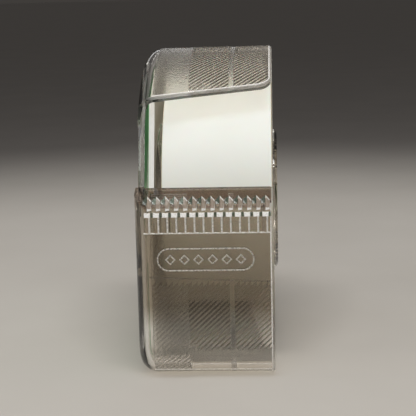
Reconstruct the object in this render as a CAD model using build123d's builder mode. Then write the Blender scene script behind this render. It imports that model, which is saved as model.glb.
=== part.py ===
from build123d import *
import os
from math import atan2, cos, degrees, radians, sin, sqrt

# A clear, snail-shaped tape dispenser moulded in one piece, with its roll of tape.
# Millimetres. +Z is up, the cutting teeth look to -Y and the open side looks to +X.
# The origin is the middle of the footprint, on the table.

# Moulded body
width = 23.2
wall = 1.25
side_wall = 1.5  # the closed side, between its border's face and the inside
rim_radius = 28.5  # outside of the round back and top
hub_height = 25.9  # height of the roll's axis
plate_to_hub = 30.35  # from the front plate's outer face to the roll's axis
front_corner = 6.0  # outer radius where the plate meets the base
rear_blend = 8.0  # outer radius where the round back meets the base
side_corner = 3.0  # outer radius along the closed side
lip_radius = 0.3  # rounding of the open side's rim

# Side wall
border_width = 4.0
border_height = 0.45
border_end_angle = 49.0  # forward of the top, where the border stops below the rim's end

# Free end of the rim, above the tape's way out
rim_end_angle = 43.2  # forward of the top, at the closed side
rim_end_slant = 3.2  # how much further back the open side's end is
rim_end_corner = 2.5

# Nose: a ledge that holds the tape's end, with teeth along its front
ledge_front_height = 30.9
ledge_rear_height = 32.4
ledge_depth = 5.2
ledge_corner = 0.7
tooth_count = 14
tooth_pitch = 1.5
tooth_reach = 0.9  # in front of the plate
tooth_tip_height = 31.6
tooth_notch = 0.65  # from a tip down to the valleys beside it
tooth_foot_height = 28.4
rib_reach = 0.4
rib_foot_height = 25.6
row_offset = 0.6  # the row's middle, to the right of the body's

# Plain raised frame on the plate
frame_length = 16.4
frame_height = 4.1
frame_line = 0.4
frame_relief = 0.28
frame_offset = 0.3  # the frame's middle, to the right of the body's
frame_middle_z = 21.05
lozenge_count = 6
lozenge_pitch = 2.35
lozenge_size = 1.45

# Roll of tape on its core
roll_radius = 23.5
core_bore_radius = 12.7
core_radius = 15.0
tape_width = 19.05
roll_inset = 0.05  # from the open side's edge to the roll's face

# Hub that the core turns on
hub_radius = 12.62
hub_wall = 1.3
shoulder_radius = 14.0
shoulder_gap = 0.15  # from the shoulder to the core
hook_reach = 0.5
hook_gap = 0.1  # from the core to the hooks that keep it on
hook_length = 0.7  # along the axis
finger_count = 3
finger_slot = 3.4
finger_root = -5.0  # where the slots between the fingers start, along X

# Printed card inside the closed side
card_thickness = 0.4
card_gap = 0.35  # from the side wall
card_inset = 2.65  # from the side wall's outline
card_hole_radius = 14.4

# Folded paper tab over the tape's free end, on the roll
tab_thickness = 0.3
tab_gap = 0.03
tab_length = 6.0
tab_side_inset = 0.6  # from the tape's edges
tab_angle = 35.0  # behind the top

# Worked out from the above
length = tooth_reach + plate_to_hub + rim_radius
hub_y = length / 2 - rim_radius
plate_y = hub_y - plate_to_hub
hub_overhang = hook_gap + hook_length - roll_inset
middle_x = -hub_overhang / 2
left_x = middle_x - width / 2
right_x = middle_x + width / 2
inner_x = left_x + side_wall
roll_right = right_x - roll_inset
roll_left = roll_right - tape_width
ledge_slope = atan2(ledge_rear_height - ledge_front_height, ledge_depth - tooth_reach)
ledge_rear = (plate_y + ledge_depth, ledge_rear_height)
hub_axis = Axis((0, hub_y, hub_height), (1, 0, 0))


def around_hub(radius, forward_of_top):
    """A point in the side view, at an angle in degrees forward of the roll's top."""
    turn = radians(forward_of_top)
    return (hub_y - radius * sin(turn), hub_height + radius * cos(turn))


def below_ledge(depth, inwards=0.0):
    """A point square below the ledge's rear edge, moved inwards along the slope."""
    return (
        ledge_rear[0] + depth * sin(ledge_slope) - inwards * cos(ledge_slope),
        ledge_rear[1] - depth * cos(ledge_slope) - inwards * sin(ledge_slope),
    )


def foot_of_arc(inset):
    """Where the round back, made smaller by inset, meets the base raised by it."""
    radius = rim_radius - inset
    drop = hub_height - inset
    return (hub_y + sqrt(radius**2 - drop**2), inset)


def arc_sweep(inset, end_angle):
    """Start and sweep, in degrees, of the round back from the base to its free end."""
    foot = foot_of_arc(inset)
    start = degrees(atan2(foot[1] - hub_height, foot[0] - hub_y))
    return start, 90 + end_angle - start


def side_outline(plane, inset=0.0):
    """The side wall's whole outline, made smaller by inset."""
    start, sweep = arc_sweep(0, rim_end_angle)
    with BuildSketch(plane) as outline:
        with BuildLine():
            Polyline(
                foot_of_arc(0),
                (plate_y, 0),
                (plate_y, ledge_front_height),
                (plate_y + tooth_reach, ledge_front_height),
                ledge_rear,
                around_hub(rim_radius, rim_end_angle),
            )
            CenterArc((hub_y, hub_height), rim_radius, start, sweep)
        make_face()
        fillet(outline.vertices().sort_by_distance((plate_y, 0))[:1], front_corner)
        fillet(outline.vertices().sort_by_distance(foot_of_arc(0))[:1], rear_blend)
        if inset:
            offset(amount=-inset, kind=Kind.INTERSECTION)
    return outline.sketch


def open_outline(plane, inset, end_angle, reach=8.0):
    """The outline inset from the rim, base, plate and ledge, and open at the mouth."""
    start, sweep = arc_sweep(inset, end_angle)
    under = below_ledge(inset, (ledge_depth - inset) / cos(ledge_slope))
    slide = (plate_y + inset - under[0]) / cos(ledge_slope)
    with BuildSketch(plane) as outline:
        with BuildLine():
            Polyline(
                foot_of_arc(inset),
                (plate_y + inset, inset),
                (plate_y + inset, under[1] + slide * sin(ledge_slope)),
                below_ledge(inset),
                below_ledge(-reach),
                around_hub(rim_radius + reach, end_angle),
                around_hub(rim_radius - inset, end_angle),
            )
            CenterArc((hub_y, hub_height), rim_radius - inset, start, sweep)
        make_face()
        front_foot = outline.vertices().sort_by_distance((plate_y + inset, inset))[:1]
        fillet(front_foot, front_corner - wall)
        rear_foot = outline.vertices().sort_by_distance(foot_of_arc(inset))[:1]
        fillet(rear_foot, rear_blend - wall)
    return outline.sketch


def on_rim_or_base(edge):
    """True for an edge of the rim, the base or the plate, not the ledge or mouth."""
    middle = edge.position_at(0.5)
    return middle.Y > hub_y or middle.Z < rib_foot_height


def row_x(step):
    """X of the teeth's dividing lines: 0 is the row's left end."""
    return middle_x + row_offset + (step - tooth_count / 2) * tooth_pitch


def ridge_row(peak, valley):
    """Zigzag points along the row, one peak per tooth, from left to right."""
    points = [(row_x(0), valley)]
    for tooth in range(tooth_count):
        points.append((row_x(tooth + 0.5), peak))
        points.append((row_x(tooth + 1), valley))
    return points


# The room inside the body, open at the mouth and on the right
with BuildPart() as hollow:
    extrude(open_outline(Plane.YZ.offset(inner_x), wall, rim_end_angle), amount=width)
    left_edges = hollow.faces().sort_by(Axis.X)[0].edges().filter_by(on_rim_or_base)
    fillet(left_edges, side_corner - side_wall)

# Teeth: sloping bar, cut to a zigzag seen from above and from the front
with BuildPart() as teeth:
    with BuildSketch(Plane.XY.offset(tooth_foot_height)):
        with BuildLine():
            Polyline(
                *ridge_row(plate_y - tooth_reach, plate_y - rib_reach),
                (row_x(tooth_count), plate_y + 1.6),
                (row_x(0), plate_y + 1.6),
                close=True,
            )
        make_face()
    extrude(amount=tooth_tip_height - tooth_foot_height)
    with BuildSketch(Plane.XZ.offset(-plate_y - 2)):
        with BuildLine():
            Polyline(
                *ridge_row(tooth_tip_height, tooth_tip_height - tooth_notch),
                (row_x(tooth_count), tooth_foot_height),
                (row_x(0), tooth_foot_height),
                close=True,
            )
        make_face()
    extrude(amount=4, mode=Mode.INTERSECT)
    with BuildSketch(Plane.YZ.offset(left_x)):
        with BuildLine():
            Polyline(
                (plate_y + 1.6, tooth_foot_height),
                (plate_y - rib_reach, tooth_foot_height),
                (plate_y - tooth_reach, tooth_foot_height + 0.4),
                (plate_y - tooth_reach, tooth_tip_height - 1.2),
                (plate_y + 0.4, tooth_tip_height),
                (plate_y + 1.6, tooth_tip_height - 1.0),
                close=True,
            )
        make_face()
    extrude(amount=width, mode=Mode.INTERSECT)

# Fine upright ribs on the plate below the teeth
with BuildPart() as ribs:
    with BuildSketch(Plane.XY.offset(rib_foot_height)):
        with BuildLine():
            Polyline(
                *ridge_row(plate_y - rib_reach, plate_y - 0.05),
                (row_x(tooth_count), plate_y + wall / 2),
                (row_x(0), plate_y + wall / 2),
                close=True,
            )
        make_face()
    extrude(amount=tooth_foot_height - rib_foot_height)

# Hub: a shouldered ring, slotted into springy fingers with hooked ends
with BuildPart() as hub:
    hub_section = Plane(origin=(0, hub_y, hub_height), x_dir=(1, 0, 0), z_dir=(0, -1, 0))
    hook_x = roll_right + hook_gap
    hub_end = hook_x + hook_length
    with BuildSketch(hub_section):
        with BuildLine():
            Polyline(
                (inner_x - 0.3, hub_radius - hub_wall),
                (inner_x - 0.3, shoulder_radius),
                (roll_left - shoulder_gap, shoulder_radius),
                (roll_left - shoulder_gap, hub_radius),
                (hook_x, hub_radius),
                (hook_x, hub_radius + hook_reach),
                (hook_x + 0.25, hub_radius + hook_reach),
                (hub_end, hub_radius - 0.2),
                (hub_end, hub_radius - hub_wall),
                close=True,
            )
        make_face()
    revolve(axis=hub_axis)
    slot_plane = Plane(
        origin=(finger_root, hub_y, hub_height), x_dir=(0, 1, 0), z_dir=(1, 0, 0)
    )
    with BuildSketch(slot_plane):
        with PolarLocations(hub_radius, finger_count, start_angle=30):
            Rectangle(2 * hub_wall + 3, finger_slot)
    extrude(amount=width, mode=Mode.SUBTRACT)

# Plain raised frame with a row of lozenges, on the plate
with BuildPart() as raised_frame:
    with BuildSketch(Plane.XZ.offset(-plate_y - frame_relief)):
        with Locations((middle_x + frame_offset, frame_middle_z)):
            SlotOverall(frame_length, frame_height)
            SlotOverall(
                frame_length - 2 * frame_line,
                frame_height - 2 * frame_line,
                mode=Mode.SUBTRACT,
            )
            with GridLocations(lozenge_pitch, 1, lozenge_count, 1):
                Rectangle(lozenge_size, lozenge_size, rotation=45)
                Rectangle(
                    lozenge_size - 2 * frame_line,
                    lozenge_size - 2 * frame_line,
                    rotation=45,
                    mode=Mode.SUBTRACT,
                )
    extrude(amount=2 * frame_relief)

# The one-piece moulded body
with BuildPart() as dispenser_shell:
    extrude(side_outline(Plane.YZ.offset(left_x)), amount=width)
    outer_edges = dispenser_shell.faces().sort_by(Axis.X)[0].edges()
    fillet(outer_edges.filter_by(on_rim_or_base), side_corner)
    add(hollow.part, mode=Mode.SUBTRACT)
    extrude(
        open_outline(Plane.YZ.offset(left_x - 1), border_width, border_end_angle),
        amount=1 + border_height,
        mode=Mode.SUBTRACT,
    )
    end_middle = around_hub(rim_radius - wall / 2, rim_end_angle)
    end_plane = Plane(
        origin=(0, *end_middle),
        x_dir=(1, 0, 0),
        z_dir=(0, -sin(radians(rim_end_angle)), cos(radians(rim_end_angle))),
    )
    with BuildSketch(end_plane) as rim_trim:
        with BuildLine():
            Polyline(
                (left_x, -4),
                (right_x + 2, -4),
                (right_x + 2, 8),
                (right_x, 8),
                (right_x, rim_end_slant),
                (left_x, 0),
                close=True,
            )
        make_face()
        corner = rim_trim.vertices().sort_by_distance((right_x, rim_end_slant))
        fillet(corner[:1], rim_end_corner)
    extrude(amount=wall, both=True, mode=Mode.SUBTRACT)
    ledge_end = (right_x, *below_ledge(wall / 2))
    fillet(dispenser_shell.edges().sort_by_distance(ledge_end)[:1], ledge_corner)
    lip_edges = dispenser_shell.edges().filter_by_position(Axis.X, right_x, right_x)
    fillet(lip_edges, lip_radius)
    add(teeth.part)
    add(ribs.part)
    add(raised_frame.part)
    add(hub.part)
dispenser_shell.part.label = "dispenser_shell"

# Printed card that lies against the inside of the side wall
card_x = inner_x + card_gap
with BuildPart() as label_card:
    card_plane = Plane.YZ.offset(card_x)
    extrude(side_outline(card_plane, card_inset), amount=card_thickness)
    hole_plane = Plane(origin=(card_x, hub_y, hub_height), x_dir=(0, 1, 0), z_dir=(1, 0, 0))
    with BuildSketch(hole_plane):
        Circle(card_hole_radius)
    extrude(amount=card_thickness, mode=Mode.SUBTRACT)
label_card.part.label = "label_card"

roll_plane = Plane(origin=(roll_left, hub_y, hub_height), x_dir=(0, 1, 0), z_dir=(1, 0, 0))

# Core that the tape is wound on
with BuildPart() as roll_core:
    with BuildSketch(roll_plane):
        Circle(core_radius)
        Circle(core_bore_radius, mode=Mode.SUBTRACT)
    extrude(amount=tape_width)
roll_core.part.label = "roll_core"

# The wound tape
with BuildPart() as tape_roll:
    with BuildSketch(roll_plane):
        Circle(roll_radius)
        Circle(core_radius, mode=Mode.SUBTRACT)
    extrude(amount=tape_width)
tape_roll.part.label = "tape_roll"

# Folded paper tab that covers the tape's free end
with BuildPart() as start_tab:
    tab_inner = roll_radius + tab_gap
    tab_start = 90 - tab_angle
    tab_sweep = degrees(tab_length / roll_radius)
    with BuildSketch(roll_plane.offset(tab_side_inset)):
        with BuildLine():
            inner_arc = CenterArc((0, 0), tab_inner, tab_start, tab_sweep)
            outer_arc = CenterArc((0, 0), tab_inner + tab_thickness, tab_start, tab_sweep)
            Line(inner_arc @ 0, outer_arc @ 0)
            Line(inner_arc @ 1, outer_arc @ 1)
        make_face()
    extrude(amount=tape_width - 2 * tab_side_inset)
start_tab.part.label = "start_tab"

os.makedirs("parts", exist_ok=True)
for piece in (dispenser_shell, label_card, roll_core, tape_roll, start_tab):
    export_step(piece.part, f"parts/{piece.part.label}.step")
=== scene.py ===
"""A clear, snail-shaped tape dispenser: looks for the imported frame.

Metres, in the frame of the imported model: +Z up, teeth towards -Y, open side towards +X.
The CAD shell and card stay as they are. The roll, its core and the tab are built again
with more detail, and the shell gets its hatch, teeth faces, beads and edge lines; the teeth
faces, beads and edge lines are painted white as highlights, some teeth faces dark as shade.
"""
import math
import random

import bmesh
import bpy
from mathutils import Matrix, Vector


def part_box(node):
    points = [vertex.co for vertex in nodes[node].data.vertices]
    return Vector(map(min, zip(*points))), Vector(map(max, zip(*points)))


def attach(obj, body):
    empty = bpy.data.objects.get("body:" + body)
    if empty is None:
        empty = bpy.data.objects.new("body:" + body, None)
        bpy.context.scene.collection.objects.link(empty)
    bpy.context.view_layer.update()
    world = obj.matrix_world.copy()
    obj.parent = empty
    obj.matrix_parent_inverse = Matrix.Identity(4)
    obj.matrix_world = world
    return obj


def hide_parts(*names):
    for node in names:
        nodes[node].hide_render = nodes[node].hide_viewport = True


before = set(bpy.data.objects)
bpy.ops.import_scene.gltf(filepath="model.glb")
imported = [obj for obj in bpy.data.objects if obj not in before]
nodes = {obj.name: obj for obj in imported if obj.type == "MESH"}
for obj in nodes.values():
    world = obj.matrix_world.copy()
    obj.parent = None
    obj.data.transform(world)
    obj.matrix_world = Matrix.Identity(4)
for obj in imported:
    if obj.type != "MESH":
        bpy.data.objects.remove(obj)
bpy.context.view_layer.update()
MM = 0.001

# Sizes of the moulded body, as the CAD model has them
TOOTH_REACH = 0.9 * MM
ROLL_INSET = 0.05 * MM
RIM_RADIUS = 28.5 * MM
BODY_WIDTH = 23.2 * MM
RIM_END_ANGLE = math.radians(43.2)
RIM_END_SLANT = 3.2 * MM
RIM_END_CORNER = 2.5 * MM
FRONT_CORNER = 6.0 * MM
CORE_BORE = 12.7 * MM

shell_low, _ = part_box("dispenser_shell")
roll_low, roll_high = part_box("tape_roll")
core_low, core_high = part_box("roll_core")
card_low, card_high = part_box("label_card")
tab_low, tab_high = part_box("start_tab")
HUB_Y = (roll_low.y + roll_high.y) / 2
HUB_Z = (roll_low.z + roll_high.z) / 2
PLATE_Y = shell_low.y + TOOTH_REACH
RIGHT_X = roll_high.x + ROLL_INSET
LEFT_X = shell_low.x
ROLL_RADIUS = (roll_high.z - roll_low.z) / 2
CORE_RADIUS = (core_high.z - core_low.z) / 2
MIDDLE_X = (LEFT_X + RIGHT_X) / 2

# Textured panels of the moulding: columns across the width, from the middle
FROSTED_COLUMN = (-8.8 * MM, -2.75 * MM)
HATCHED_COLUMNS = ((-2.7 * MM, 4.2 * MM), (5.0 * MM, 11.25 * MM))
PLATE_HATCH = (5.2 * MM, 17.3 * MM)
CORNER_HATCH = (-5.3 * MM, -1.2 * MM)
RIM_HATCH_END = RIM_RADIUS * math.radians(138)

# Lines of the hatch: raised, and rooted a little inside the moulding
HATCH_PITCH = 0.64 * MM
HATCH_SLOPE = math.tan(math.radians(43))
HATCH_ROOT = 0.12 * MM
HATCH_HEIGHT = 0.13 * MM
FAINT_HATCH_HEIGHT = 0.05 * MM
RIM_HATCH_HEIGHT = 0.07 * MM
SHORTEST_RIB = 0.4 * MM

# Raised frame on the plate, as the CAD model has it
FRAME_MIDDLE = (MIDDLE_X + 0.3 * MM, 21.05 * MM)
FRAME_LENGTH = 16.4 * MM
FRAME_HEIGHT = 4.1 * MM
FRAME_LINE = 0.4 * MM
LOZENGE_COUNT = 6
LOZENGE_SIDE = 1.45 * MM
LOZENGE_PITCH = 2.35 * MM

# Beads on the frame, rooted a little inside its face
BEAD_BASE = 0.25 * MM
BEAD_WIDTH = 0.25 * MM
BEAD_HEIGHT = 0.12 * MM

# Satin edges, painted white as highlights: how wide they are, and how far from each side their
# raised lines run
EDGE_BAND = 0.34 * MM
OPEN_INSET = 0.42 * MM
CLOSED_INSET = 2.6 * MM

# Ledge and teeth, as the CAD model has them
LEDGE_DEPTH = 5.2 * MM
LEDGE_REAR_HEIGHT = 32.4 * MM
LEDGE_FRONT_HEIGHT = 30.9 * MM
TOOTH_COUNT = 14
TOOTH_PITCH = 1.5 * MM
ROW_MIDDLE = MIDDLE_X + 0.6 * MM
VALLEY_REACH = 0.4 * MM
TOOTH_FOOT = 28.4 * MM
RIB_FOOT = 25.6 * MM

# Flanks on the teeth: white as painted highlights on one side, dark as painted shade on the other
FLANK_FOOT = 29.45 * MM
SHADE_FOOT = 30.55 * MM
TOOTH_SHOULDER = 30.4 * MM
PEAK_TOP = (0.36 * MM, 31.62 * MM)  # behind the plate's front, and height
VALLEY_TOP = (0.12 * MM, 30.98 * MM)  # behind the valley's front, and height


# ---------------------------------------------------------------- mesh helpers
def mesh_object(name, points, faces, material, smooth_angle=None):
    """A new object from lists of points and faces, all facing outwards, with smooth
    shading below an angle."""
    mesh = bpy.data.meshes.new(name)
    mesh.from_pydata([tuple(p) for p in points], [], faces)
    outward = bmesh.new()
    outward.from_mesh(mesh)
    bmesh.ops.recalc_face_normals(outward, faces=outward.faces)
    outward.to_mesh(mesh)
    outward.free()
    mesh.update()
    piece = bpy.data.objects.new(name, mesh)
    bpy.context.scene.collection.objects.link(piece)
    mesh.materials.append(material)
    if smooth_angle is not None:
        mesh.shade_smooth()
        mesh.set_sharp_from_angle(angle=math.radians(smooth_angle))
    return piece


def hub_point(x, radius, forward):
    """The point at a radius from the hub's axis, at an angle forward of the top."""
    y = HUB_Y - radius * math.sin(forward)
    z = HUB_Z + radius * math.cos(forward)
    return Vector((x, y, z))


def turned_solid(name, profile, steps, material, smooth_angle=30):
    """A closed ring turned round the hub's axis from a loop of (x, radius) points."""
    points = []
    for step in range(steps):
        turn = 2 * math.pi * step / steps
        points += [hub_point(x, radius, turn) for x, radius in profile]
    count = len(profile)
    faces = []
    for step in range(steps):
        here, there = step * count, (step + 1) % steps * count
        for i in range(count):
            j = (i + 1) % count
            faces.append((here + i, here + j, there + j, there + i))
    return mesh_object(name, points, faces, material, smooth_angle)


# ------------------------------------------------------------ material helpers
class Surface:
    """A node material with its Principled shader, and short ways to add nodes."""

    def __init__(self, name):
        self.material = bpy.data.materials.new(name)
        self.material.use_nodes = True
        self.tree = self.material.node_tree
        self.shader = self.tree.nodes["Principled BSDF"]
        self.output = self.tree.nodes["Material Output"]
        coordinates = self.add("ShaderNodeTexCoord")
        self.place = coordinates.outputs["Object"]

    def add(self, kind, **settings):
        """A new node with its settings."""
        node = self.tree.nodes.new(kind)
        for name, value in settings.items():
            setattr(node, name, value)
        return node

    def link(self, source, target):
        """Link a socket to the target, or set the target to a constant."""
        if isinstance(source, bpy.types.NodeSocket):
            self.tree.links.new(source, target)
        else:
            target.default_value = source

    def math(self, operation, first, second=0.0, third=0.0):
        """The result of one operation on numbers or sockets."""
        node = self.add("ShaderNodeMath", operation=operation)
        for source, socket in zip((first, second, third), node.inputs):
            self.link(source, socket)
        return node.outputs[0]

    def axes(self):
        """The place's x, y and z."""
        split = self.add("ShaderNodeSeparateXYZ")
        self.link(self.place, split.inputs[0])
        return split.outputs[0], split.outputs[1], split.outputs[2]

    def radius(self):
        """Distance from the hub's axis."""
        _, y, z = self.axes()
        across = self.math("SUBTRACT", y, HUB_Y)
        up = self.math("SUBTRACT", z, HUB_Z)
        squares = self.math(
            "ADD", self.math("MULTIPLY", across, across), self.math("MULTIPLY", up, up)
        )
        return self.math("SQRT", squares)

    def noise(self, scale, detail=4.0, roughness=0.5, place=None):
        """Noise of a scale per metre, 0 to 1."""
        node = self.add("ShaderNodeTexNoise")
        self.link(place or self.place, node.inputs["Vector"])
        node.inputs["Scale"].default_value = scale
        node.inputs["Detail"].default_value = detail
        node.inputs["Roughness"].default_value = roughness
        return node.outputs["Fac"]

    def stretched(self, x, y, z):
        """The place scaled along each axis, so that noise runs long where it is small."""
        node = self.add("ShaderNodeMapping")
        self.link(self.place, node.inputs["Vector"])
        node.inputs["Scale"].default_value = (x, y, z)
        return node.outputs[0]

    def ramp(self, fac, stops):
        """Colours between stops of (position, colour)."""
        node = self.add("ShaderNodeValToRGB")
        self.link(fac, node.inputs[0])
        while len(node.color_ramp.elements) < len(stops):
            node.color_ramp.elements.new(0.5)
        for element, (position, colour) in zip(node.color_ramp.elements, stops):
            element.position = position
            element.color = (*colour, 1.0)
        return node.outputs[0]

    def remap(self, value, low, high, to_low=0.0, to_high=1.0):
        """A value's share of the way from low to high, clamped, on another range."""
        node = self.add("ShaderNodeMapRange")
        self.link(value, node.inputs[0])
        for socket, number in zip(node.inputs[1:5], (low, high, to_low, to_high)):
            self.link(number, socket)
        return node.outputs[0]

    def between(self, value, low, high, edge=0.05 * MM):
        """1 where value lies between low and high, with a soft edge."""
        rise = self.remap(value, low - edge, low + edge)
        fall = self.remap(value, high - edge, high + edge, 1.0, 0.0)
        return self.math("MULTIPLY", rise, fall)

    def mix(self, fac, first, second):
        """A colour between the first and the second."""
        node = self.add("ShaderNodeMix", data_type="RGBA")
        self.link(fac, node.inputs["Factor"])
        self.link(first, node.inputs["A"])
        self.link(second, node.inputs["B"])
        return node.outputs["Result"]

    def bump(self, height, distance, strength=1.0, normal=None):
        """A normal tilted by a height, on top of another normal."""
        node = self.add("ShaderNodeBump")
        node.inputs["Strength"].default_value = strength
        node.inputs["Distance"].default_value = distance
        self.link(height, node.inputs["Height"])
        if normal is not None:
            self.link(normal, node.inputs["Normal"])
        return node.outputs[0]

    def set(self, **values):
        """Constants or sockets for the shader's inputs."""
        for name, value in values.items():
            self.link(value, self.shader.inputs[name.replace("_", " ")])


# ------------------------------------------------------------------- materials
PLASTIC_IOR = 1.57
PLASTIC_TINT = (0.80, 0.77, 0.72, 1.0)
# Painted shade: the plate and the ledge take darker tints
PLATE_SHADE_TINT = (0.43, 0.365, 0.285, 1.0)
LEDGE_SHADE_TINT = (0.22, 0.155, 0.115, 1.0)
# Painted light: near the floor the plastic is left clearer
LOW_LIGHT_TINT = (0.98, 0.96, 0.93, 1.0)
# Painted reflection: the cut edges take a dark grey-green
EDGE_REFLECTION_TINT = (0.27, 0.33, 0.27, 1.0)
HATCH_TINT = (0.82, 0.80, 0.77, 1.0)
# Painted highlight: the satin edges are left almost untinted
SATIN_HIGHLIGHT_TINT = (1.0, 0.99, 0.97, 1.0)

# Where the plastic's look changes, each from one value to the other: for painted light, shade and
# reflections, and for satin edges
LOW_HEIGHTS = (9 * MM, 13 * MM)
LOW_HATCH_HEIGHTS = (7 * MM, 9 * MM)
PLATE_DEPTHS = (1.3 * MM, 3 * MM)
RIM_END_HEIGHTS = (42 * MM, 43 * MM)
ROUNDING_RADII = (28.0 * MM, 28.2 * MM)
OPEN_SIDE_RADII = (19 * MM, 20 * MM)
WALL_FRONT = (HUB_Y - 14 * MM, HUB_Y - 12 * MM)
WALL_LINE = (LEFT_X + 0.95 * MM, LEFT_X + 1.42 * MM)
WALL_INSIDE = (LEFT_X + 1.5 * MM, LEFT_X + 1.7 * MM)


def let_lamps_through(surface, tint):
    """Clear plastic casts only a faint shadow: lamps, and light that a matt surface
    gathers, pass it straight and tinted."""
    path = surface.add("ShaderNodeLightPath")
    clear = surface.add("ShaderNodeBsdfTransparent")
    clear.inputs["Color"].default_value = tint
    shown = surface.shader.outputs[0]
    for ray in ("Is Diffuse Ray", "Is Shadow Ray"):
        mixer = surface.add("ShaderNodeMixShader")
        surface.link(path.outputs[ray], mixer.inputs["Fac"])
        surface.link(shown, mixer.inputs[1])
        surface.link(clear.outputs[0], mixer.inputs[2])
        shown = mixer.outputs[0]
    surface.link(shown, surface.output.inputs["Surface"])


def past_rim_end(s, x, y, z):
    """How far a point lies forward of the rim's free end, which slants and has a corner."""
    forward = s.math("ARCTAN2", s.math("SUBTRACT", HUB_Y, y), s.math("SUBTRACT", z, HUB_Z))
    end = RIM_RADIUS * RIM_END_ANGLE
    slanted = s.remap(x, LEFT_X, RIGHT_X, end, end - RIM_END_SLANT)
    into_corner = s.remap(x, RIGHT_X - RIM_END_CORNER, RIGHT_X, 0.0, RIM_END_CORNER)
    left_over = s.math(
        "SUBTRACT", RIM_END_CORNER**2, s.math("MULTIPLY", into_corner, into_corner)
    )
    corner = s.math("SUBTRACT", RIM_END_CORNER, s.math("SQRT", left_over))
    return s.math("SUBTRACT", s.math("MULTIPLY_ADD", forward, RIM_RADIUS, corner), slanted)


def above_ledge(s, y, z):
    """1 in front of the roll and above the ledge, where the closed side has its edge."""
    in_front = s.remap(y, *WALL_FRONT, 1.0, 0.0)
    above = s.remap(z, LEDGE_REAR_HEIGHT, LEDGE_REAR_HEIGHT + 0.5 * MM)
    return s.math("MULTIPLY", in_front, above)


def edge_masks(s, x, y, z):
    """1 on the satin edges, whose lighter tint is a painted highlight, and 1 on the face of the
    rim's free end, whose dark tint is a painted reflection. Satin are the open side, the rounding
    of the free end and a line down the closed side's front edge."""
    radius = s.radius()
    on_side = s.remap(x, RIGHT_X - EDGE_BAND, RIGHT_X - 0.7 * EDGE_BAND)
    side = s.math("MULTIPLY", on_side, s.remap(radius, *OPEN_SIDE_RADII))
    past_end = past_rim_end(s, x, y, z)
    high = s.remap(z, *RIM_END_HEIGHTS)
    rounding = s.math("MULTIPLY", high, s.remap(radius, *ROUNDING_RADII))
    end = s.math("MULTIPLY", s.remap(past_end, -1.3 * EDGE_BAND, -EDGE_BAND), rounding)
    inner = s.math("MULTIPLY", high, s.remap(radius, *ROUNDING_RADII, 1.0, 0.0))
    face = s.math("MULTIPLY", s.remap(past_end, -0.12 * MM, -0.06 * MM), inner)
    line = s.math("MULTIPLY", above_ledge(s, y, z), s.between(x, *WALL_LINE))
    return s.math("MAXIMUM", line, s.math("MAXIMUM", side, end)), face


def tint_and_painted_shade(s, x, y, z, end_face):
    """Painted light and shade in the plastic's tint: pale near the floor as painted light, darker
    up the plate and the ledge as painted shade, and green on the cut edges as a painted
    reflection.
    """
    low = s.remap(z, *LOW_HEIGHTS)
    on_plate = s.remap(y, *(PLATE_Y + depth for depth in PLATE_DEPTHS), 1.0, 0.0)
    plate = s.math("MULTIPLY", on_plate, low)
    ledge_end = PLATE_Y + LEDGE_DEPTH
    ledge = s.math(
        "MULTIPLY",
        s.remap(y, ledge_end, ledge_end + 0.1 * MM, 1.0, 0.0),
        s.between(z, LEDGE_FRONT_HEIGHT - 1.2 * MM, LEDGE_REAR_HEIGHT + 0.2 * MM),
    )
    tint = s.mix(low, LOW_LIGHT_TINT, PLASTIC_TINT)
    tint = s.mix(ledge, s.mix(plate, tint, PLATE_SHADE_TINT), LEDGE_SHADE_TINT)
    # Painted reflection on the closed wall's cut edge and on the rim end's face
    in_wall = s.remap(x, *WALL_INSIDE, 1.0, 0.0)
    wall_edge = s.math("MULTIPLY", in_wall, above_ledge(s, y, z))
    return s.mix(s.math("MAXIMUM", wall_edge, end_face), tint, EDGE_REFLECTION_TINT)


def clear_plastic():
    """Clear moulded polystyrene: flow waves, faint scuffs, frosted columns, satin edges lighter as
    painted highlights, and painted light, shade and reflection in its tint.
    """
    s = Surface("clear_polystyrene")
    x, y, z = s.axes()
    from_middle = s.math("SUBTRACT", x, MIDDLE_X)
    stripe = s.between(from_middle, HATCHED_COLUMNS[0][1], HATCHED_COLUMNS[1][0])
    column = s.math("MAXIMUM", s.between(from_middle, *FROSTED_COLUMN), stripe)
    on_rim = s.remap(s.radius(), RIM_RADIUS - 0.5 * MM, RIM_RADIUS - 0.3 * MM)
    on_plate = s.remap(y, PLATE_Y + 0.3 * MM, PLATE_Y + 0.5 * MM, 1.0, 0.0)
    low = s.remap(z, PLATE_HATCH[1], PLATE_HATCH[1] + 0.1 * MM, 1.0, 0.0)
    outside = s.math("MAXIMUM", on_rim, s.math("MULTIPLY", on_plate, low))
    frosted = s.math("MULTIPLY", column, outside)
    edges, end_face = edge_masks(s, x, y, z)
    scuffs = s.remap(s.noise(900, 6, 0.65, s.stretched(1, 0.2, 0.6)), 0.5, 0.8, 0.0, 0.05)
    waves = s.bump(s.noise(60, 2, 0.4), 0.15 * MM, 0.35)
    stipple = s.math("MULTIPLY", s.noise(2200, 2, 0.6), frosted)
    satin = s.math("MULTIPLY_ADD", edges, 0.5, scuffs)
    s.set(
        Base_Color=s.mix(edges, tint_and_painted_shade(s, x, y, z, end_face), SATIN_HIGHLIGHT_TINT),
        Roughness=s.math("MULTIPLY_ADD", frosted, 0.24, satin),
        IOR=PLASTIC_IOR,
        Transmission_Weight=1.0,
        Normal=s.bump(stipple, 0.10 * MM, 0.8, waves),
    )
    let_lamps_through(s, (0.95, 0.935, 0.91, 1.0))
    return s.material


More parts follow.
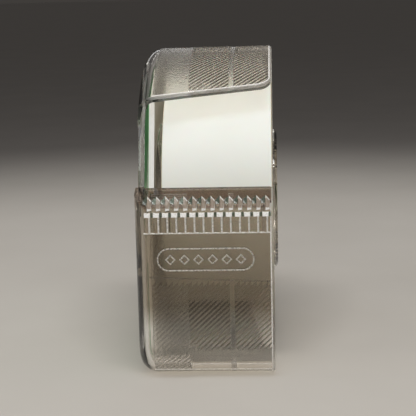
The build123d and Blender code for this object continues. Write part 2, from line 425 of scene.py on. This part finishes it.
def hatch_plastic():
    """The same plastic on the raised hatch, with fine tool marks, left clearer low down as painted
    light.
    """
    s = Surface("hatched_polystyrene")
    marks = s.noise(1800, 3, 0.6, s.stretched(1, 0.4, 0.4))
    _, _, z = s.axes()
    s.set(
        Base_Color=s.mix(s.remap(z, *LOW_HATCH_HEIGHTS), LOW_LIGHT_TINT, HATCH_TINT),
        Roughness=s.remap(marks, 0.35, 0.7, 0.03, 0.12),
        IOR=PLASTIC_IOR,
        Transmission_Weight=1.0,
        Normal=s.bump(marks, 0.02 * MM, 0.5),
    )
    let_lamps_through(s, (0.96, 0.955, 0.95, 1.0))
    return s.material


def satin_highlight_plastic(name, clear):
    """Satin plastic, painted white where highlights fall: tooth faces, crests and edges."""
    s = Surface(name)
    marks = s.noise(2600, 3, 0.6)
    s.set(
        Base_Color=s.ramp(marks, [(0.3, (0.90, 0.89, 0.86)), (0.7, (0.98, 0.97, 0.95))]),
        Roughness=s.remap(marks, 0.35, 0.7, 0.22, 0.42),
        IOR=PLASTIC_IOR,
        Transmission_Weight=clear,
        Normal=s.bump(marks, 0.02 * MM, 0.5),
    )
    let_lamps_through(s, (0.93, 0.925, 0.91, 1.0))
    return s.material


def shaded_plastic():
    """Clear plastic painted dark with a green cast, as shade in the deep notches of the teeth and
    on their shaded flanks.
    """
    s = Surface("painted_shade_polystyrene")
    marks = s.noise(2200, 3, 0.6)
    s.set(
        Base_Color=s.ramp(marks, [(0.3, (0.16, 0.24, 0.18)), (0.7, (0.32, 0.38, 0.31))]),
        Roughness=s.remap(marks, 0.35, 0.7, 0.04, 0.12),
        IOR=PLASTIC_IOR,
        Transmission_Weight=0.8,
        Normal=s.bump(marks, 0.02 * MM, 0.5),
    )
    let_lamps_through(s, (0.85, 0.86, 0.84, 1.0))
    return s.material


def matte_tape():
    """Matt tape: milky backing outside, and tan layers on the wound sides."""
    s = Surface("matte_tape")
    x, _, _ = s.axes()
    radius = s.radius()
    layer_place = s.add("ShaderNodeCombineXYZ")
    s.link(radius, layer_place.inputs[0])
    layers = s.noise(5200, 5, 0.7, layer_place.outputs[0])
    bands = s.noise(420, 3, 0.55, layer_place.outputs[0])
    cloud = s.noise(55, 4, 0.6)
    on_side = s.math(
        "MAXIMUM",
        s.remap(x, roll_low.x + 0.10 * MM, roll_low.x + 0.2 * MM, 1.0, 0.0),
        s.remap(x, roll_high.x - 0.2 * MM, roll_high.x - 0.10 * MM),
    )
    milky = s.ramp(cloud, [(0.3, (0.85, 0.865, 0.795)), (0.7, (0.885, 0.90, 0.845))])
    wound = s.math("ADD", s.math("MULTIPLY", layers, 0.55), s.math("MULTIPLY", bands, 0.45))
    tan = s.ramp(
        wound,
        [(0.3, (0.50, 0.42, 0.28)), (0.5, (0.72, 0.65, 0.49)), (0.72, (0.83, 0.79, 0.66))],
    )
    grain = s.noise(4000, 3, 0.6)
    s.set(
        Base_Color=s.mix(on_side, milky, tan),
        Roughness=s.remap(grain, 0.3, 0.7, 0.48, 0.62),
        Subsurface_Weight=0.12,
        Subsurface_Scale=1.5 * MM,
        Normal=s.bump(
            s.math("MULTIPLY", layers, on_side), 0.05 * MM, 0.6, s.bump(grain, 0.006 * MM, 0.5)
        ),
    )
    return s.material


def core_plastic():
    """Satin off-white plastic with turned marks and a faint mottle."""
    s = Surface("core_plastic")
    ring_place = s.add("ShaderNodeCombineXYZ")
    s.link(s.radius(), ring_place.inputs[0])
    rings = s.noise(2600, 3, 0.5, ring_place.outputs[0])
    mottle = s.noise(160, 4, 0.6)
    s.set(
        Base_Color=s.ramp(mottle, [(0.3, (0.74, 0.71, 0.63)), (0.7, (0.84, 0.82, 0.75))]),
        Roughness=s.remap(rings, 0.3, 0.7, 0.34, 0.5),
        Normal=s.bump(rings, 0.02 * MM, 0.5),
    )
    return s.material


def printed_card():
    """Card: green print with plain pale bands on the outside, white fibres on the back."""
    wide_band = (HUB_Z - 15 * MM, HUB_Z - 10.5 * MM)
    narrow_band = (HUB_Z - 9.6 * MM, HUB_Z - 8.9 * MM)
    ring_radii = (17.0 * MM, 18.2 * MM)
    band_slope = 0.35
    s = Surface("printed_card")
    x, y, z = s.axes()
    outer = s.remap(x, card_low.x + 0.05 * MM, card_low.x + 0.1 * MM, 1.0, 0.0)
    across = s.math("ADD", s.math("MULTIPLY", y, band_slope), z)
    shade = s.remap(z, card_low.z, card_high.z)
    green = s.ramp(shade, [(0.0, (0.035, 0.21, 0.06)), (1.0, (0.07, 0.36, 0.11))])
    band = s.math(
        "MAXIMUM", s.between(across, *wide_band, 0.1 * MM), s.between(across, *narrow_band)
    )
    ring = s.between(s.radius(), *ring_radii)
    ink = s.mix(s.math("MAXIMUM", band, ring), green, (0.80, 0.84, 0.76, 1.0))
    fibres = s.noise(1500, 5, 0.7, s.stretched(1, 1, 0.35))
    print_grain = s.mix(s.remap(fibres, 0.3, 0.8, 0.0, 0.12), ink, (0.55, 0.68, 0.52, 1.0))
    back = s.ramp(fibres, [(0.3, (0.80, 0.80, 0.76)), (0.7, (0.88, 0.88, 0.85))])
    s.set(
        Base_Color=s.mix(outer, back, print_grain),
        Roughness=s.remap(outer, 0.0, 1.0, 0.75, 0.38),
        Normal=s.bump(fibres, 0.03 * MM, 0.4),
    )
    return s.material


def tab_paper():
    """Kraft paper with long fibres."""
    s = Surface("tab_paper")
    fibres = s.noise(1400, 6, 0.7, s.stretched(0.25, 1, 1))
    s.set(
        Base_Color=s.ramp(fibres, [(0.3, (0.70, 0.60, 0.40)), (0.7, (0.86, 0.79, 0.62))]),
        Roughness=s.remap(fibres, 0.3, 0.7, 0.62, 0.8),
        Normal=s.bump(fibres, 0.04 * MM, 0.6),
    )
    return s.material


CLEAR = clear_plastic()
HATCH = hatch_plastic()
# Satin plastics painted white in three strengths, as highlights
SATIN_HIGHLIGHT = satin_highlight_plastic("satin_highlight_polystyrene", 0.32)
WHITE_HIGHLIGHT = satin_highlight_plastic("white_highlight_polystyrene", 0.15)
PALE_HIGHLIGHT = satin_highlight_plastic("pale_highlight_polystyrene", 0.72)
NOTCH_SHADE = shaded_plastic()
TAPE = matte_tape()
CORE = core_plastic()
CARD = printed_card()
PAPER = tab_paper()


# --------------------------------------------------------------- moulded shell
def finish_shell():
    """The CAD body keeps its shape and takes the clear plastic."""
    shell = nodes["dispenser_shell"]
    shell.data.materials[0] = CLEAR


def plate_point(x, height, lift):
    """On the front plate at a height, lifted outwards."""
    return Vector((x, PLATE_Y - lift, height))


def rim_point(x, behind, lift):
    """On the round rim at a distance behind the top, lifted outwards."""
    return hub_point(x, RIM_RADIUS + lift, -behind / RIM_RADIUS)


def corner_point(x, above, lift):
    """On the round corner below the plate, lifted outwards; its start is at 0 and the rest
    of it at negative distances."""
    turn = -above / FRONT_CORNER
    reach = FRONT_CORNER + lift
    return Vector(
        (
            x,
            PLATE_Y + FRONT_CORNER - reach * math.cos(turn),
            FRONT_CORNER - reach * math.sin(turn),
        )
    )


def rim_end(x):
    """Where the rim's free end is, as a distance behind the top."""
    end = RIM_END_SLANT * (x - LEFT_X) / BODY_WIDTH - RIM_RADIUS * RIM_END_ANGLE
    into_corner = min(max(x - RIGHT_X + RIM_END_CORNER, 0.0), RIM_END_CORNER)
    return end + RIM_END_CORNER - math.sqrt(RIM_END_CORNER**2 - into_corner**2)


def tube(points, faces, rings):
    """A closed solid through rings of as many points each."""
    first, count = len(points), len(rings[0])
    for ring in rings:
        points += ring
    for step in range(len(rings) - 1):
        here, there = first + count * step, first + count * (step + 1)
        for i in range(count):
            j = (i + 1) % count
            faces.append((here + i, there + i, there + j, here + j))
    last = len(points) - count
    faces.append(tuple(first + i for i in range(count)))
    faces.append(tuple(last + i for i in reversed(range(count))))


def hatch_rib(points, faces, place, height, ends, steps):
    """One raised line between two (x, distance) points, as a closed prism."""
    (x0, start), (x1, end) = ends
    half = HATCH_PITCH / 2 * math.sqrt(1 + HATCH_SLOPE**2)
    section = ((-half, -HATCH_ROOT), (-half, 0), (0, height), (half, 0), (half, -HATCH_ROOT))
    rings = []
    for step in range(steps + 1):
        share = step / steps
        x, along = x0 + (x1 - x0) * share, start + (end - start) * share
        rings.append([place(x, along + across, lift) for across, lift in section])
    tube(points, faces, rings)


def hatch_panel(name, place, column, low, high, height=HATCH_HEIGHT, steps=1):
    """Lines that rise to the right, side by side, from low(x) up to high."""
    points, faces = [], []
    left, right = MIDDLE_X + column[0], MIDDLE_X + column[1]
    spacing = HATCH_PITCH * math.sqrt(1 + HATCH_SLOPE**2)
    margin = spacing / 2
    start = low(left) - (right - left) * HATCH_SLOPE
    nudge = 0.05 * MM
    while start < high:
        x0, x1 = left, right
        while x0 < x1 and start + (x0 - left) * HATCH_SLOPE < low(x0) + margin:
            x0 += nudge
        while x1 > x0 and start + (x1 - left) * HATCH_SLOPE > high - margin:
            x1 -= nudge
        if x1 - x0 > SHORTEST_RIB:
            ends = [(x, start + (x - left) * HATCH_SLOPE) for x in (x0, x1)]
            hatch_rib(points, faces, place, height, ends, steps)
        start += spacing
    panel = mesh_object(name, points, faces, HATCH)
    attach(panel, "shell")


def make_hatch():
    """Hatch on the plate, on its rounded foot and round the rim, column by column."""

    def above_plate_start(x):
        return PLATE_HATCH[0]

    def above_corner_start(x):
        return CORNER_HATCH[0]

    plate = (above_plate_start, PLATE_HATCH[1])
    corner = (above_corner_start, CORNER_HATCH[1])
    rim = (rim_end, RIM_HATCH_END)
    left = FROSTED_COLUMN
    hatch_panel("plate_hatch_left", plate_point, left, *plate, FAINT_HATCH_HEIGHT)
    hatch_panel("corner_hatch", corner_point, left, *corner, steps=4)
    for side, column in zip(("middle", "right"), HATCHED_COLUMNS):
        hatch_panel(f"plate_hatch_{side}", plate_point, column, *plate)
        hatch_panel(f"rim_hatch_{side}", rim_point, column, *rim, RIM_HATCH_HEIGHT, steps=8)


def bead(points, faces, outline):
    """A rounded bead along a closed outline of (x, z) points on the raised frame."""
    count, rounds = len(outline), 8
    sharpest = 0.4
    for i, corner in enumerate(outline):
        before = (corner - outline[i - 1]).normalized()
        after = (outline[(i + 1) % count] - corner).normalized()
        tangent = (before + after).normalized()
        across = Vector((tangent.y, -tangent.x)) / max(tangent.dot(after), sharpest)
        for step in range(rounds + 1):
            turn = math.pi * step / rounds
            at = corner + across * BEAD_WIDTH / 2 * math.cos(turn)
            lift = BEAD_BASE + BEAD_HEIGHT * math.sin(turn)
            points.append((at.x, PLATE_Y - lift, at.y))
    first = len(points) - count * (rounds + 1)
    for i in range(count):
        here, there = first + i * (rounds + 1), first + (i + 1) % count * (rounds + 1)
        for step in range(rounds):
            faces.append((here + step, here + step + 1, there + step + 1, there + step))
        faces.append((here + rounds, here, there, there + rounds))


def make_beads():
    """Rounded tops along the raised frame and its lozenges."""
    points, faces = [], []
    centre = Vector(FRAME_MIDDLE)
    reach, radius = (FRAME_LENGTH - FRAME_HEIGHT) / 2, (FRAME_HEIGHT - FRAME_LINE) / 2
    stadium, steps = [], 16
    for side, start in ((1, -math.pi / 2), (-1, math.pi / 2)):
        for step in range(steps + 1):
            turn = start + math.pi * step / steps
            across = side * reach + radius * math.cos(turn)
            stadium.append(centre + Vector((across, radius * math.sin(turn))))
    bead(points, faces, stadium)
    half = (LOZENGE_SIDE - FRAME_LINE) / math.sqrt(2)
    turns = (0, math.pi / 2, math.pi, math.pi * 1.5)
    for i in range(LOZENGE_COUNT):
        along = (i + 0.5 - LOZENGE_COUNT / 2) * LOZENGE_PITCH
        middle = centre + Vector((along, 0))
        bead(points, faces, [middle + Vector((math.cos(t), math.sin(t))) * half for t in turns])
    # Part white, as painted highlights along the frame's lines
    beads = mesh_object("frame_beads", points, faces, PALE_HIGHLIGHT, 40)
    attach(beads, "shell")


def upright_bar(points, faces, left, right, low, high, reach, lean=0.0):
    """A bar on the plate with chamfered sides, whose top may lean back."""
    bevel, root = 0.07 * MM, 0.1 * MM
    outline = ((left, low), (right, low), (right, high), (left, high))
    inner = (
        (left + bevel, low + bevel),
        (right - bevel, low + bevel),
        (right - bevel, high - bevel),
        (left + bevel, high - bevel),
    )
    leans = (0.0, 0.0, lean, lean)
    face = PLATE_Y - reach
    front = [Vector((x, face + back, z)) for (x, z), back in zip(inner, leans)]
    middle = [Vector((x, face + bevel + back, z)) for (x, z), back in zip(outline, leans)]
    rear = [Vector((x, PLATE_Y + root, z)) for x, z in outline]
    tube(points, faces, (front, middle, rear))


def tooth_flank(points, faces, middle, side, foot):
    """One flank of a tooth, a little proud of the moulding, from its peak to the valley."""
    proud, lean, rise = 0.10 * MM, 0.12 * MM, 0.08 * MM
    valley, peak = PLATE_Y - VALLEY_REACH - proud, PLATE_Y - TOOTH_REACH - proud
    outer, inner = middle + side * 0.68 * MM, middle + side * 0.03 * MM
    peak_back, peak_height = PEAK_TOP
    valley_back, valley_height = VALLEY_TOP
    front = [
        Vector((outer, valley - lean, foot)),
        Vector((inner, peak - lean, foot)),
        Vector((inner, peak, max(foot, TOOTH_SHOULDER))),
        Vector((inner, PLATE_Y + peak_back - proud, peak_height + rise)),
        Vector((outer, valley + valley_back, valley_height + rise)),
    ]
    if side > 0:  # the order of its corners sets where the bent face folds
        front.reverse()
    into_tooth = Vector((0, 0.3 * MM, -0.06 * MM))
    tube(points, faces, (front, [point + into_tooth for point in front]))


def make_teeth():
    """Faces on the teeth: white as painted highlights on one flank, on blocks at their feet and
    on crests on the ribs, and dark as painted shade on the other flank and in the notches.
    """
    crests, blocks, notches, flanks, shades = (([], []) for _ in range(5))
    foot, top = TOOTH_FOOT - 0.05 * MM, TOOTH_FOOT + 0.65 * MM
    half, proud, lean = 0.5 * MM, 0.25 * MM, 0.22 * MM
    shy = 0.1 * MM
    for tooth in range(TOOTH_COUNT):
        middle = ROW_MIDDLE + (tooth + 0.5 - TOOTH_COUNT / 2) * TOOTH_PITCH
        block = (middle - half, middle + half, foot, top)
        notch = (middle + half + 0.02 * MM, middle + half + 0.42 * MM, foot, top)
        crest = (middle + 0.12 * MM, middle + 0.40 * MM, RIB_FOOT, foot)
        upright_bar(*blocks, *block, TOOTH_REACH + proud, lean)
        upright_bar(*notches, *notch, TOOTH_REACH - shy)
        upright_bar(*crests, *crest, VALLEY_REACH + 0.03 * MM)
        tooth_flank(*flanks, middle, 1, FLANK_FOOT)
        tooth_flank(*shades, middle, -1, SHADE_FOOT)
    reach = TOOTH_COUNT / 2 * TOOTH_PITCH
    sill = (ROW_MIDDLE - reach, ROW_MIDDLE + reach, RIB_FOOT - 0.22 * MM, RIB_FOOT + 0.02 * MM)
    upright_bar(*crests, *sill, 0.2 * MM)
    for name, solids, material in (
        ("rib_crest_highlights", crests, SATIN_HIGHLIGHT),
        ("tooth_block_highlights", blocks, WHITE_HIGHLIGHT),
        ("tooth_notch_shade", notches, NOTCH_SHADE),
        ("tooth_flank_highlights", flanks, WHITE_HIGHLIGHT),
        ("tooth_shades", shades, NOTCH_SHADE),
    ):
        piece = mesh_object(name, *solids, material)
        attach(piece, "shell")


def raised_line(points, faces, place, ends, width, height, steps=1):
    """A low ridge with sloping sides between two (x, distance) points."""
    start, end = (Vector(point) for point in ends)
    along = (end - start).normalized()
    across = Vector((-along.y, along.x)) * width / 2
    section = ((-1, -HATCH_ROOT), (-1, 0), (-0.4, height), (0.4, height), (1, 0), (1, -HATCH_ROOT))
    rings = []
    for step in range(steps + 1):
        middle = start + (end - start) * step / steps
        rings.append([place(*(middle + across * side), lift) for side, lift in section])
    tube(points, faces, rings)


def make_edge_lines():
    """Fine satin lines painted white as highlights along the moulding's edges, and a faint one
    across the plate.
    """
    points, faces = [], []
    side_x = RIGHT_X - OPEN_INSET
    width, height = 0.22 * MM, 0.05 * MM
    corner_foot = -FRONT_CORNER * math.radians(75)
    base_line = -FRONT_CORNER * math.radians(53)
    left, right = LEFT_X + CLOSED_INSET, RIGHT_X - RIM_END_CORNER
    above_end, side_start = 0.5 * MM, 0.4 * MM
    end_xs = [left] + [right + (side_x - right) * i / 8 for i in range(9)]
    end_line = [(x, rim_end(x) + above_end) for x in end_xs]
    lines = [
        (plate_point, ((side_x, FRONT_CORNER), (side_x, LEDGE_FRONT_HEIGHT - 0.5 * MM)), 1),
        (corner_point, ((side_x, corner_foot), (side_x, 0)), 8),
        (corner_point, ((left, base_line), (side_x, base_line)), 1),
        (rim_point, ((side_x, rim_end(side_x) + side_start), (side_x, RIM_HATCH_END)), 48),
    ]
    lines += [(rim_point, ends, 1) for ends in zip(end_line, end_line[1:])]
    for place, ends, steps in lines:
        raised_line(points, faces, place, ends, width, height, steps)
    edge = mesh_object("edge_highlight_lines", points, faces, WHITE_HIGHLIGHT, 40)
    across_plate = ((MIDDLE_X - 9.2 * MM, 18.0 * MM), (side_x, 17.15 * MM))
    points, faces = [], []
    raised_line(points, faces, plate_point, across_plate, 0.30 * MM, 0.022 * MM)
    faint = mesh_object("plate_line", points, faces, HATCH)
    for piece in (edge, faint):
        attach(piece, "shell")


finish_shell()
make_hatch()
make_beads()
make_teeth()
make_edge_lines()


# ------------------------------------------------------------------------ roll
def wound_side(x, inwards, seed):
    """(x, radius) points down one side of the roll, with layers that stand a little
    proud or shy of each other."""
    rng = random.Random(seed)
    rounding, inset = 0.12 * MM, 0.04 * MM
    outermost, innermost = ROLL_RADIUS - 0.35 * MM, CORE_RADIUS + 0.4 * MM
    deepest, narrowest, widest, step = 0.07, 0.18, 0.6, 0.06 * MM
    points = [(x + inwards * rounding, ROLL_RADIUS), (x + inwards * inset, ROLL_RADIUS - rounding)]
    radius = outermost
    while radius > innermost:
        depth = inwards * rng.uniform(0.0, deepest) * MM
        width = rng.uniform(narrowest, widest) * MM
        points += [(x + depth, radius), (x + depth, radius - width + step)]
        radius -= width
    points.append((x + inwards * 0.05 * MM, CORE_RADIUS + 0.02 * MM))
    return points


def make_roll():
    """The wound tape, with uneven layers on both sides."""
    left = wound_side(roll_low.x, 1, seed=3)
    right = wound_side(roll_high.x, -1, seed=7)
    width, strips = roll_high.x - roll_low.x, 8
    crown = [(roll_low.x + width * i / strips, ROLL_RADIUS) for i in range(1, strips)]
    roll = turned_solid("wound_tape", crown + right + left[::-1], 192, TAPE, 50)
    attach(roll, "roll")
    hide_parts("tape_roll")


def make_core():
    """Core ring with chamfered mouths and a shallow groove along the bore."""
    low, high = core_low.x, core_high.x
    mid = (low + high) / 2
    mouth, edge = 0.35 * MM, 0.175 * MM
    groove_mouth, groove_floor, groove_depth = 1.2 * MM, 0.9 * MM, 0.25 * MM
    profile = [
        (low, CORE_BORE + mouth),
        (low, CORE_RADIUS - edge),
        (low + edge, CORE_RADIUS),
        (high - edge, CORE_RADIUS),
        (high, CORE_RADIUS - edge),
        (high, CORE_BORE + mouth),
        (high - mouth, CORE_BORE),
        (mid + groove_mouth, CORE_BORE),
        (mid + groove_floor, CORE_BORE + groove_depth),
        (mid - groove_floor, CORE_BORE + groove_depth),
        (mid - groove_mouth, CORE_BORE),
        (low + mouth, CORE_BORE),
    ]
    core = turned_solid("tape_core", profile[::-1], 128, CORE, 25)
    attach(core, "roll")
    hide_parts("roll_core")


def card_corner(target):
    """The corner of the card's outline that is nearest to a corner of the side wall."""
    corners = [Vector(vertex.co) for vertex in nodes["label_card"].data.vertices]
    return min(corners, key=lambda corner: (corner.yz - Vector(target)).length)


def make_card_fold():
    """The card's front edges, below and above the ledge, turned in towards the roll."""
    below = (
        card_corner((PLATE_Y, FRONT_CORNER * 0.8)),
        card_corner((PLATE_Y, LEDGE_FRONT_HEIGHT)),
    )
    above = (
        card_corner((PLATE_Y + LEDGE_DEPTH, LEDGE_REAR_HEIGHT)),
        card_corner(hub_point(0, RIM_RADIUS, RIM_END_ANGLE).yz),
    )
    points, faces = [], []
    depth, thick, overrun = 0.6 * MM, 0.3 * MM, 0.9 * MM
    root, tip = card_high.x - 0.02 * MM, card_high.x + depth
    for low, high in (below, above):
        along = (high - low).normalized()
        across = Vector((0, along.z, -along.y)) * thick
        rings = []
        for end in (low, high + along * overrun):
            near, far = Vector((root, end.y, end.z)), Vector((tip, end.y, end.z))
            rings.append([near, far, far + across, near + across])
        tube(points, faces, rings)
    fold = mesh_object("card_fold", points, faces, CARD)
    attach(fold, "shell")


def tab_outline(start, end):
    """(distance, height) points round a slip of paper, folded double at its start, with
    its upper leaf lifting a little towards the end."""
    half, leaf, fold, lift = 0.04 * MM, 0.08 * MM, 0.07 * MM, 0.35 * MM
    steps, turns = 10, 6
    path = [(end + (start + fold - end) * i / steps, leaf) for i in range(steps + 1)]
    for i in range(1, turns):
        turn = math.pi * i / turns
        path.append((start + fold - fold * math.sin(turn), leaf + fold * (1 - math.cos(turn))))
    for i in range(steps + 1):
        share = i / steps
        height = leaf + 2 * fold + lift * share**2
        path.append((start + fold + (end - start - fold) * share, height))
    left, right = [], []
    for i, (along, height) in enumerate(path):
        before, after = path[max(i - 1, 0)], path[min(i + 1, len(path) - 1)]
        way = Vector((after[0] - before[0], after[1] - before[1])).normalized() * half
        left.append((along - way.y, height + way.x))
        right.append((along + way.y, height - way.x))
    return left + right[::-1]


def make_tab():
    """The folded slip of paper over the tape's end, a little uneven across its width."""
    corners = [vertex.co for vertex in nodes["start_tab"].data.vertices]
    turns = [math.atan2(HUB_Y - corner.y, corner.z - HUB_Z) for corner in corners]
    outline = tab_outline(min(turns) * ROLL_RADIUS, max(turns) * ROLL_RADIUS)
    count, widths = len(outline), 12
    points, faces = [], []
    for step in range(widths + 1):
        share = step / widths
        x = tab_low.x + (tab_high.x - tab_low.x) * share
        swell = 1 + 0.25 * math.sin(5 * share + 0.6)
        for along, height in outline:
            points.append(hub_point(x, ROLL_RADIUS + height * swell, along / ROLL_RADIUS))
    for step in range(widths):
        here, there = step * count, (step + 1) * count
        for i in range(count):
            j = (i + 1) % count
            faces.append((here + i, here + j, there + j, there + i))
    last = widths * count
    for i in range(count // 2 - 1):
        j = count - 1 - i
        faces.append((i + 1, i, j, j - 1))
        faces.append((last + i, last + i + 1, last + j - 1, last + j))
    tab = mesh_object("folded_tab", points, faces, PAPER, 50)
    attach(tab, "roll")
    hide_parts("start_tab")


make_roll()
make_core()
make_tab()
make_card_fold()
nodes["label_card"].data.materials[0] = CARD


# ----------------------------------------------------------- floor, light, view
def make_stage():
    """A pale floor with a painted pool of light: it darkens far from the object."""
    pale_reach, dim_reach = 0.12, 0.30
    half = 6.0
    s = Surface("floor_light_pool")
    x, y, _ = s.axes()
    squares = s.math("MULTIPLY_ADD", x, x, s.math("MULTIPLY", y, y))
    far = s.remap(s.math("SQRT", squares), pale_reach, dim_reach)
    far.node.interpolation_type = "SMOOTHSTEP"
    mottle = s.noise(30, 3)
    pale = s.ramp(mottle, [(0.3, (0.53, 0.50, 0.455)), (0.7, (0.56, 0.53, 0.485))])
    dim = s.ramp(mottle, [(0.3, (0.105, 0.096, 0.088)), (0.7, (0.115, 0.105, 0.096))])
    s.set(Base_Color=s.mix(far, pale, dim), Roughness=0.85)
    corners = [(-half, -half, 0), (half, -half, 0), (half, half, 0), (-half, half, 0)]
    mesh_object("floor", corners, [(0, 1, 2, 3)], s.material)


def make_world():
    """Dark near the horizon and grey overhead, so that clear edges read."""
    world = bpy.data.worlds.new("studio")
    bpy.context.scene.world = world
    world.use_nodes = True
    tree = world.node_tree
    direction = tree.nodes.new("ShaderNodeTexCoord")
    split = tree.nodes.new("ShaderNodeSeparateXYZ")
    ramp = tree.nodes.new("ShaderNodeValToRGB")
    tree.links.new(direction.outputs["Generated"], split.inputs[0])
    tree.links.new(split.outputs["Z"], ramp.inputs[0])
    low, high = ramp.color_ramp.elements
    low.position, low.color = 0.12, (0.05, 0.046, 0.042, 1)
    high.position, high.color = 0.45, (0.26, 0.25, 0.24, 1)
    tree.links.new(ramp.outputs[0], tree.nodes["Background"].inputs["Color"])


def soft_light(name, place, aim, size, power):
    """A rectangular lamp aimed at a point, out of the camera's sight."""
    lamp = bpy.data.lights.new(name, "AREA")
    lamp.shape = "RECTANGLE"
    lamp.size, lamp.size_y = size
    lamp.energy = power
    holder = bpy.data.objects.new(name, lamp)
    bpy.context.scene.collection.objects.link(holder)
    holder.location = place
    holder.rotation_mode = "QUATERNION"
    holder.rotation_quaternion = (Vector(aim) - Vector(place)).to_track_quat("-Z", "Y")
    holder.visible_camera = False


def make_camera():
    """The photograph's station and direction, with a lens long enough to fill the frame."""
    azimuth, elevation, roll = (math.radians(angle) for angle in (3.32, 10.53, 1.4))
    distance = 215 * MM
    photo_lens, longer = 70.4, 1.47
    target = Vector((MIDDLE_X - 0.13 * MM, PLATE_Y + 17.7 * MM, 26.4 * MM))
    back = Vector(
        (
            math.sin(azimuth) * math.cos(elevation),
            -math.cos(azimuth) * math.cos(elevation),
            math.sin(elevation),
        )
    )
    right = Vector((0, 0, 1)).cross(back).normalized()
    up = back.cross(right)
    tilted_right = right * math.cos(roll) - up * math.sin(roll)
    tilted_up = right * math.sin(roll) + up * math.cos(roll)
    axes = Matrix((tilted_right, tilted_up, back)).transposed()
    camera = bpy.data.objects.new("camera", bpy.data.cameras.new("camera"))
    camera.data.sensor_width = 36
    camera.data.lens = photo_lens * longer
    camera.data.clip_start = 0.005
    camera.matrix_world = Matrix.Translation(target + back * distance) @ axes.to_4x4()
    bpy.context.scene.collection.objects.link(camera)
    bpy.context.scene.camera = camera


make_stage()
make_world()
soft_light("top_key", (0.02, -0.17, 0.42), (0, 0, 0.03), (0.30, 0.12), 1.22)
soft_light("front_strip", (0.0, -0.38, 0.31), (0, 0, 0.03), (0.34, 0.05), 0.14)
soft_light("left_box", (-0.34, -0.10, 0.12), (0, 0, 0.03), (0.10, 0.20), 0.3)
soft_light("back_strip", (0.0, 0.34, 0.14), (0, 0, 0.05), (0.30, 0.03), 0.03)
make_camera()
bpy.context.scene.view_settings.view_transform = "Standard"
# Light runs a long way inside clear plastic before it comes out
bpy.context.scene.cycles.max_bounces = 32
bpy.context.scene.cycles.transmission_bounces = 32
bpy.context.scene.cycles.glossy_bounces = 16
